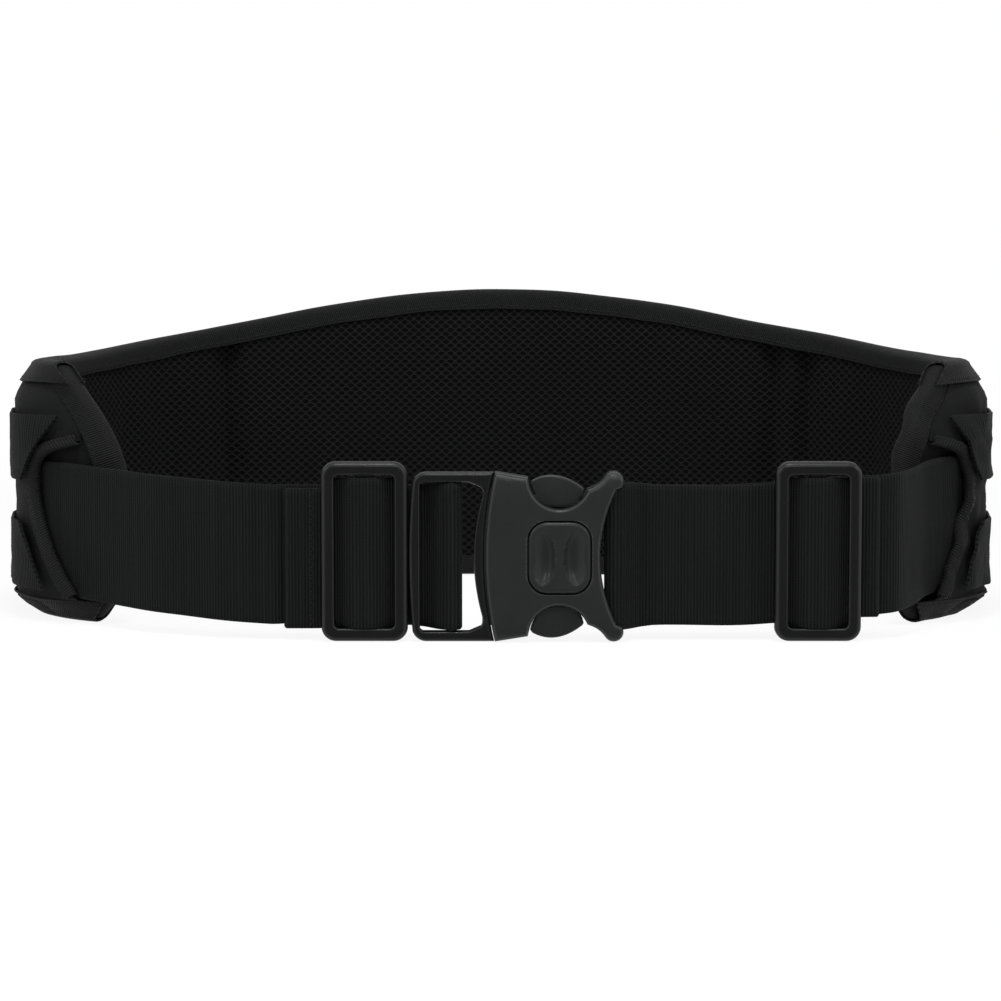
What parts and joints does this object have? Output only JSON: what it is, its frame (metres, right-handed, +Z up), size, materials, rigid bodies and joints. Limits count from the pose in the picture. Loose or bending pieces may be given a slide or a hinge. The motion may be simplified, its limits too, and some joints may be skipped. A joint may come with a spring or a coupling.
{
  "type": "padded webbing belt",
  "caption": "Padded waist belt with a mesh-lined pad, load webbing loops outside, a wide strap with sliders and a three-point side-release buckle",
  "frame": {"origin": "on the surface the belt stands on, under the middle of its overall box", "axes": "+X to the right as seen from the buckle's side, +Y from the buckle to the middle of the back, +Z up"},
  "size_m": [0.3804, 0.238, 0.1225],
  "materials": {
    "air_mesh": "open knitted spacer mesh, matte",
    "foam": "closed-cell foam, matte",
    "pack_cloth": "coarse plain-woven nylon, matte",
    "binding_tape": "ribbed grosgrain tape, matte",
    "webbing": "ribbed woven webbing, slight sheen",
    "moulded_plastic": "moulded acetal, satin with a fine spark texture"
  },
  "bodies": {
    "belt": {"mesh_lining": "air_mesh", "back_cushion": "foam", "left_cushion": "foam", "right_cushion": "foam", "pad_backing": "pack_cloth", "sleeve_cover": "pack_cloth", "top_binding": "binding_tape", "bottom_binding": "binding_tape", "left_end_binding": "binding_tape", "right_end_binding": "binding_tape", "left_mouth_binding": "binding_tape", "right_mouth_binding": "binding_tape", "upper_load_webbing": "webbing", "lower_load_webbing": "webbing", "belt_webbing": "webbing", "right_strap": "webbing", "buckle_socket": "moulded_plastic"},
    "plug": {"buckle_plug": "moulded_plastic", "left_strap": "webbing"},
    "upper_prong": {"upper_prong": "moulded_plastic"},
    "lower_prong": {"lower_prong": "moulded_plastic"},
    "button": {"centre_button": "moulded_plastic"},
    "left_slider": {"left_slider": "moulded_plastic"},
    "right_slider": {"right_slider": "moulded_plastic"}
  },
  "joints": [
    {"name": "plug_release", "type": "slide", "parent": "belt", "child": "plug", "axis": [-1, 0, 0], "range_m": [0, 0.04], "deforming": ["left_strap", "upper_prong", "lower_prong", "centre_button"]},
    {"name": "upper_prong_squeeze", "type": "hinge", "parent": "plug", "child": "upper_prong", "pos_m": [0.0008, -0.1123, 0.04995], "axis": [0, 1, 0], "range_deg": [0, 13], "stiffness_Nm_per_rad": 0.6},
    {"name": "lower_prong_squeeze", "type": "hinge", "parent": "plug", "child": "lower_prong", "pos_m": [0.0008, -0.1123, 0.01045], "axis": [0, -1, 0], "range_deg": [0, 13], "stiffness_Nm_per_rad": 0.6},
    {"name": "button_press", "type": "hinge", "parent": "plug", "child": "button", "pos_m": [0.0008, -0.1123, 0.0302], "axis": [0, 0, 1], "range_deg": [0, 4], "stiffness_Nm_per_rad": 0.6},
    {"name": "left_slider_slide", "type": "slide", "parent": "plug", "child": "left_slider", "axis": [-1, 0, 0], "range_m": [0, 0.01], "deforming": ["left_strap"]},
    {"name": "right_slider_slide", "type": "slide", "parent": "belt", "child": "right_slider", "axis": [-1, 0, 0], "range_m": [0, 0.045], "deforming": ["right_strap"]}
  ]
}
